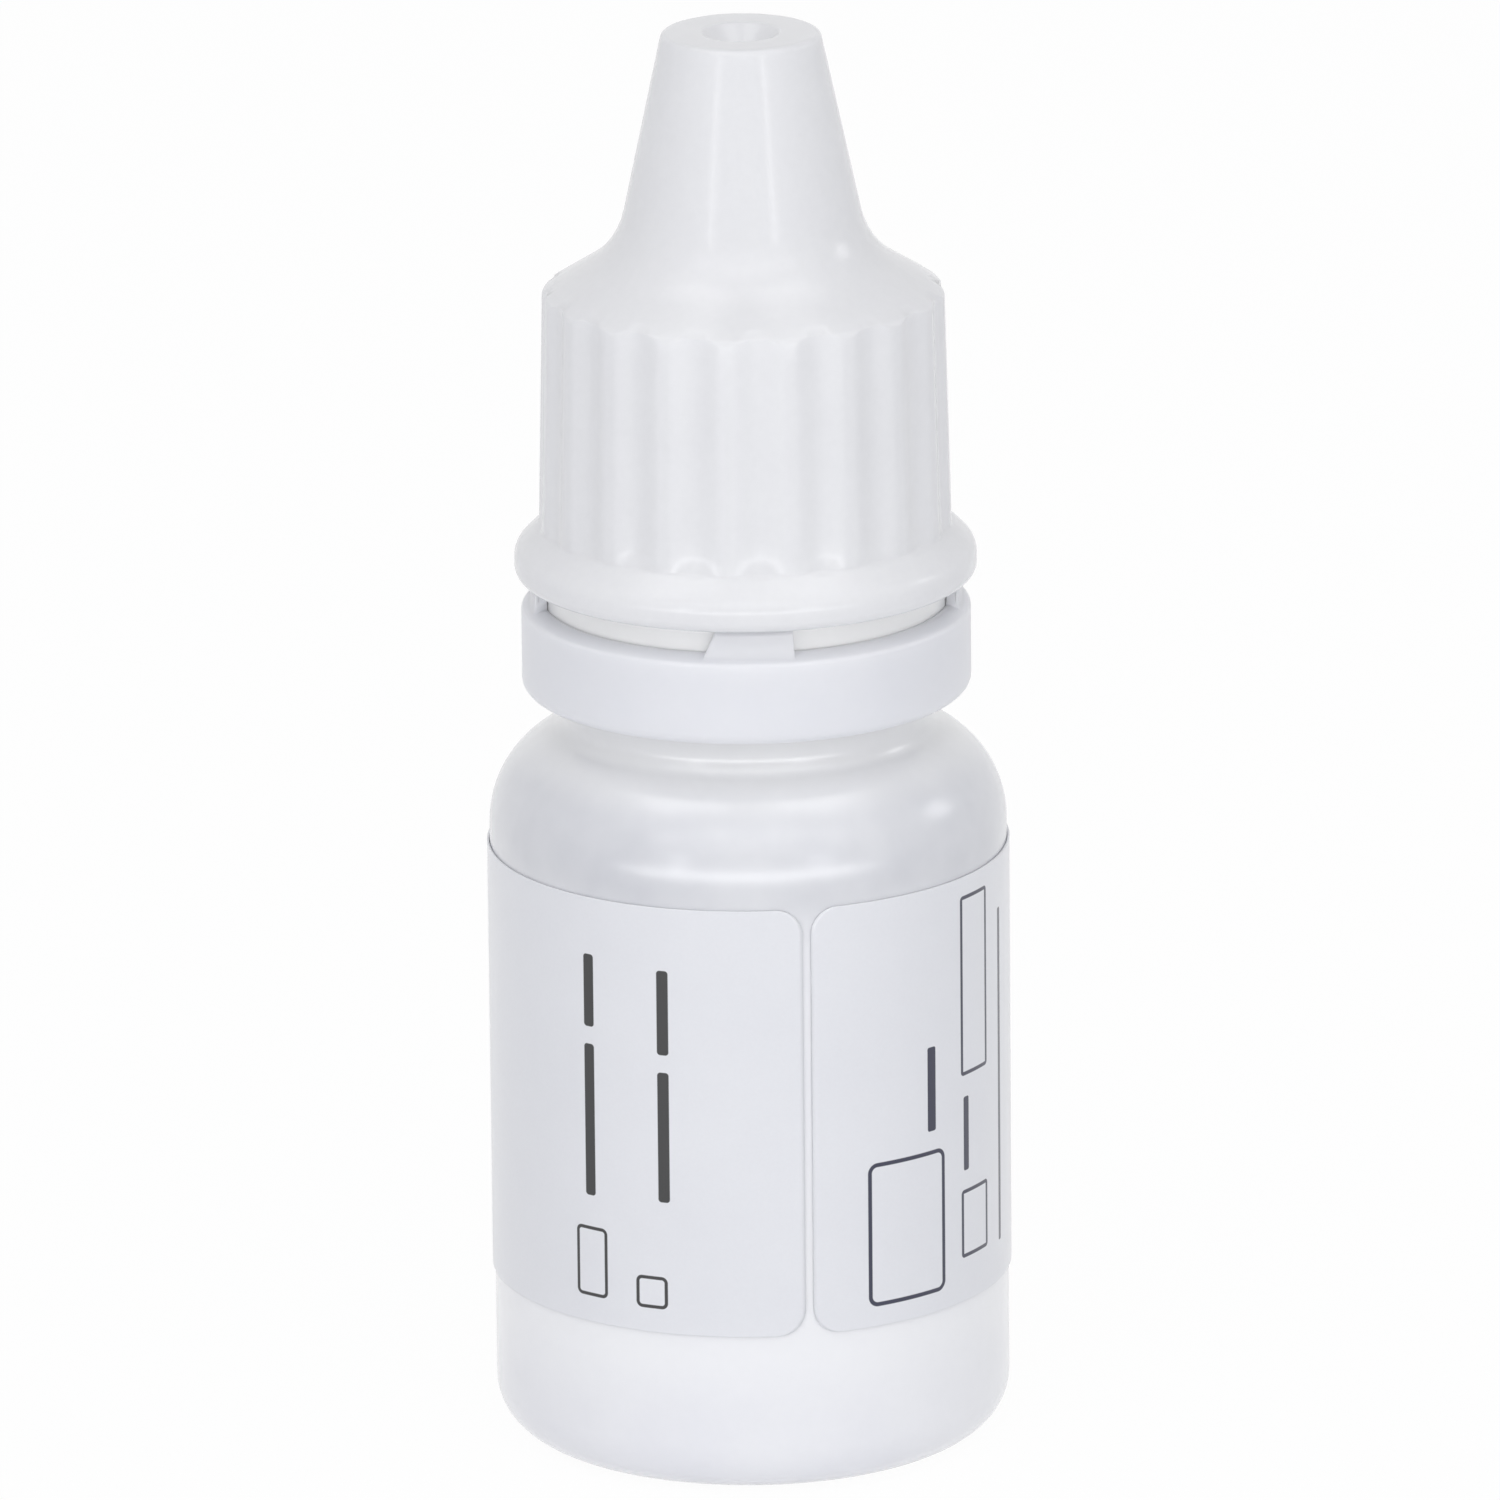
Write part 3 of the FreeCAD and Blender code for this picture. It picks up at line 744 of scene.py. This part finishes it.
def makePrintBox():
    # One printed box: signed distance to a rounded rectangle, turned into a mask; with a line width only the
    # band inside its edge is inked
    tree, given, result = newGroup(
        "printBox",
        [("Place", "Vector", (0, 0, 0)), ("Centre", "Vector", (0, 0, 0)), ("Half", "Vector", (1, 1, 0)),
         ("Corner", "Float", 0.0), ("Line", "Float", filledLine), ("Soft", "Float", labelSizes["inkEdge"])],
        [("Mask", "Float")])
    away = vectorNode(tree, "SUBTRACT", given["Place"], given["Centre"])["Vector"]
    size = vectorNode(tree, "ABSOLUTE", away)["Vector"]
    past = vectorNode(tree, "SUBTRACT", size, given["Half"])["Vector"]
    grown = vectorNode(tree, "ADD", past, given["Corner"])["Vector"]
    outside = vectorNode(tree, "MAXIMUM", grown, (0, 0, 0))["Vector"]
    flatOut = vectorNode(tree, "MULTIPLY", outside, (1, 1, 0))["Vector"]
    length = vectorNode(tree, "LENGTH", flatOut)["Value"]
    parts = putNode(tree, "ShaderNodeSeparateXYZ", {0: grown}).outputs
    inside = mathNode(tree, "MINIMUM", mathNode(tree, "MAXIMUM", parts["X"], parts["Y"]), 0.0)
    edge = mathNode(tree, "SUBTRACT", mathNode(tree, "ADD", length, inside), given["Corner"])
    hollow = mathNode(tree, "MULTIPLY", mathNode(tree, "ADD", edge, given["Line"]), -1.0)
    band = mathNode(tree, "MAXIMUM", edge, hollow)
    mask = putNode(tree, "ShaderNodeMapRange", {"Value": band, "From Min": given["Soft"], "From Max": 0.0})
    tree.links.new(mask.outputs["Result"], result["Mask"])
    return tree


printBox = makePrintBox()
labelLook = {
    "tone": (0.79, 0.80, 0.84, 1), "cloud": 0.5, "cloudTone": (0.82, 0.83, 0.865, 1),
    "speck": 0.05, "speckTone": (0.7, 0.7, 0.72, 1), "bump": 0.04, "bumpDepth": 0.01,
    "skin": {"Cloud Scale": 220.0, "Grain Scale": 6000.0, "Roughness Low": 0.32, "Roughness High": 0.44},
    "shader": {"Subsurface Weight": 0.1, "Subsurface Radius": (1.0, 1.0, 1.0), "Subsurface Scale": 0.3 * mm,
               "IOR": 1.48, "Specular IOR Level": 0.5, "Coat Weight": 0.7, "Coat Roughness": 0.25},
}


def printedFilm(name, look):
    # the plain film's own finish, inked where a printed box's mask says so
    material = mouldedPlastic(name, look)
    tree = material.node_tree
    shader = tree.nodes["Principled BSDF"]
    colour = shader.inputs["Base Color"].links[0].from_socket
    uv = putNode(tree, "ShaderNodeUVMap", uv_map="flatLabel")
    place = putNode(tree, "ShaderNodeVectorMath", {0: uv.outputs["UV"], "Scale": labelSizes["mapSpan"]},
                    operation="SCALE")
    for tone, boxes in labelPrint.items():
        mask = None
        for lowX, lowY, highX, highY, rounding, line in boxes:
            box = putNode(tree, "ShaderNodeGroup", node_tree=printBox)
            tree.links.new(place.outputs["Vector"], box.inputs["Place"])
            box.inputs["Centre"].default_value = ((lowX + highX) / 2, (lowY + highY) / 2, 0)
            box.inputs["Half"].default_value = ((highX - lowX) / 2, (highY - lowY) / 2, 0)
            box.inputs["Corner"].default_value = rounding
            box.inputs["Line"].default_value = line or filledLine
            found = box.outputs["Mask"]
            mask = found if mask is None else mathNode(tree, "MAXIMUM", mask, found)
        colour = mixColour(tree, mask, colour, ink[tone])
    tree.links.new(colour, shader.inputs["Base Color"])
    return material


dress(labelPiece, printedFilm("printedFilm", labelLook))
print("label", len(labelPrint["navy"]) + len(labelPrint["grey"]), "printed boxes")


# floor, light and camera

studio = {
    "floorSize": 6.0, "floorTone": (0.93, 0.935, 0.95, 1), "floorGlow": 0.965,
    "ambient": (0.975, 0.978, 1.0, 1), "ambientStrength": 0.51, "aim": (0, 0, 0.036),
    # azimuth from the front to the right, elevation, distance, width, height, radiance
    "lamps": {
        "lowPanel": (0, -0.6, 0.30, 0.72, 0.064, 1.3),
        "frontPanel": (0, 40, 0.90, 1.50, 0.50, 0.70),
        "overhead": (0, 66, 0.70, 1.30, 0.70, 0.64),
    },
    # lamps that only show as reflections
    "glints": {
        "stripGlintLeft": (-31, 11, 0.60, 0.05, 0.20, 4.0),
        "stripGlintRight": (31, 11, 0.60, 0.05, 0.20, 4.0),
        "lowGlint": (0, -1.5, 0.28, 0.90, 0.05, 2.6),
        "topGlintLeft": (-90, 72, 0.60, 0.30, 0.25, 1.4),
        "topGlintRight": (90, 72, 0.60, 0.30, 0.25, 1.4),
        "sideGlint": (104, 23, 0.50, 0.10, 0.10, 3.2),
    },
}


def backgroundMix(tree):
    # camera, mirror and see-through rays find the plain white background, other rays the studio's light
    path = putNode(tree, "ShaderNodeLightPath").outputs
    seen = mathNode(tree, "MAXIMUM", path["Is Camera Ray"], path["Is Glossy Ray"])
    return mathNode(tree, "MAXIMUM", seen, path["Is Transmission Ray"])


def makeWorld(s):
    world = bpy.data.worlds.new("studio")
    stageScene.world = world
    world.use_nodes = True
    tree = world.node_tree
    tree.nodes.clear()
    light = putNode(tree, "ShaderNodeBackground", {"Color": s["ambient"], "Strength": s["ambientStrength"]})
    white = putNode(tree, "ShaderNodeBackground", {"Color": (1, 1, 1, 1), "Strength": 1.0})
    mix = putNode(tree, "ShaderNodeMixShader",
                  {0: backgroundMix(tree), 1: light.outputs[0], 2: white.outputs[0]})
    putNode(tree, "ShaderNodeOutputWorld", {"Surface": mix.outputs[0]})


def makeFloor(s):
    half = s["floorSize"] / 2
    mesh = bpy.data.meshes.new("floor")
    corners = [(-half, -half, 0), (half, -half, 0), (half, half, 0), (-half, half, 0)]
    mesh.from_pydata(corners, [], [(0, 1, 2, 3)])
    floor = bpy.data.objects.new("floor", mesh)
    stageScene.collection.objects.link(floor)
    material = bpy.data.materials.new("paleFloor")
    material.use_nodes = True
    tree = material.node_tree
    tree.nodes.clear()
    matte = putNode(tree, "ShaderNodeBsdfDiffuse", {"Color": s["floorTone"]})
    glow = putNode(tree, "ShaderNodeEmission", {"Color": (1, 1, 1, 1), "Strength": 1.0})
    share = mathNode(tree, "MULTIPLY", backgroundMix(tree), s["floorGlow"])
    mix = putNode(tree, "ShaderNodeMixShader", {0: share, 1: matte.outputs[0], 2: glow.outputs[0]})
    putNode(tree, "ShaderNodeOutputMaterial", {"Surface": mix.outputs[0]})
    dress(floor, material)


def makeLamps(s):
    aim = Vector(s["aim"])
    for name, row in {**s["lamps"], **s["glints"]}.items():
        azimuth, elevation, distance, width, height, radiance = row
        a, e = math.radians(azimuth), math.radians(elevation)
        back = Vector((math.sin(a) * math.cos(e), -math.cos(a) * math.cos(e), math.sin(e)))
        lamp = bpy.data.lights.new(name, "AREA")
        lamp.shape = "RECTANGLE"
        lamp.size, lamp.size_y = width, height
        lamp.energy = radiance * math.pi * width * height
        holder = bpy.data.objects.new(name, lamp)
        turned = back.to_track_quat("Z", "Y").to_matrix().to_4x4()
        holder.matrix_world = Matrix.Translation(aim + back * distance) @ turned
        holder.visible_camera = False
        holder.visible_diffuse = name not in s["glints"]
        stageScene.collection.objects.link(holder)


makeWorld(studio)
makeFloor(studio)
makeLamps(studio)
print("studio", len(studio["lamps"]), "lamps", len(studio["glints"]), "glints")

cameraSizes = {
    "elevation": 16.5, "distance": 0.850, "middle": (0, 0, 0.03525), "roll": 0.54,
    "right": 0.000135, "down": 0.001245, "lens": 422.7, "sensor": 36.0, "clip": (0.01, 20),
}


def makeCamera(s):
    e, roll = math.radians(s["elevation"]), math.radians(s["roll"])
    back = Vector((0, -math.cos(e), math.sin(e)))
    level, rise = Vector((1, 0, 0)), Vector((0, math.sin(e), math.cos(e)))
    right = level * math.cos(roll) - rise * math.sin(roll)
    up = rise * math.cos(roll) + level * math.sin(roll)
    place = Vector(s["middle"]) + right * s["right"] - up * s["down"] + back * s["distance"]
    lens = bpy.data.cameras.new("photoView")
    lens.lens, lens.sensor_width = s["lens"], s["sensor"]
    lens.clip_start, lens.clip_end = s["clip"]
    camera = bpy.data.objects.new("photoView", lens)
    turned = Matrix((right, up, back)).transposed().to_4x4()
    camera.matrix_world = Matrix.Translation(place) @ turned
    stageScene.collection.objects.link(camera)
    stageScene.camera = camera


makeCamera(cameraSizes)
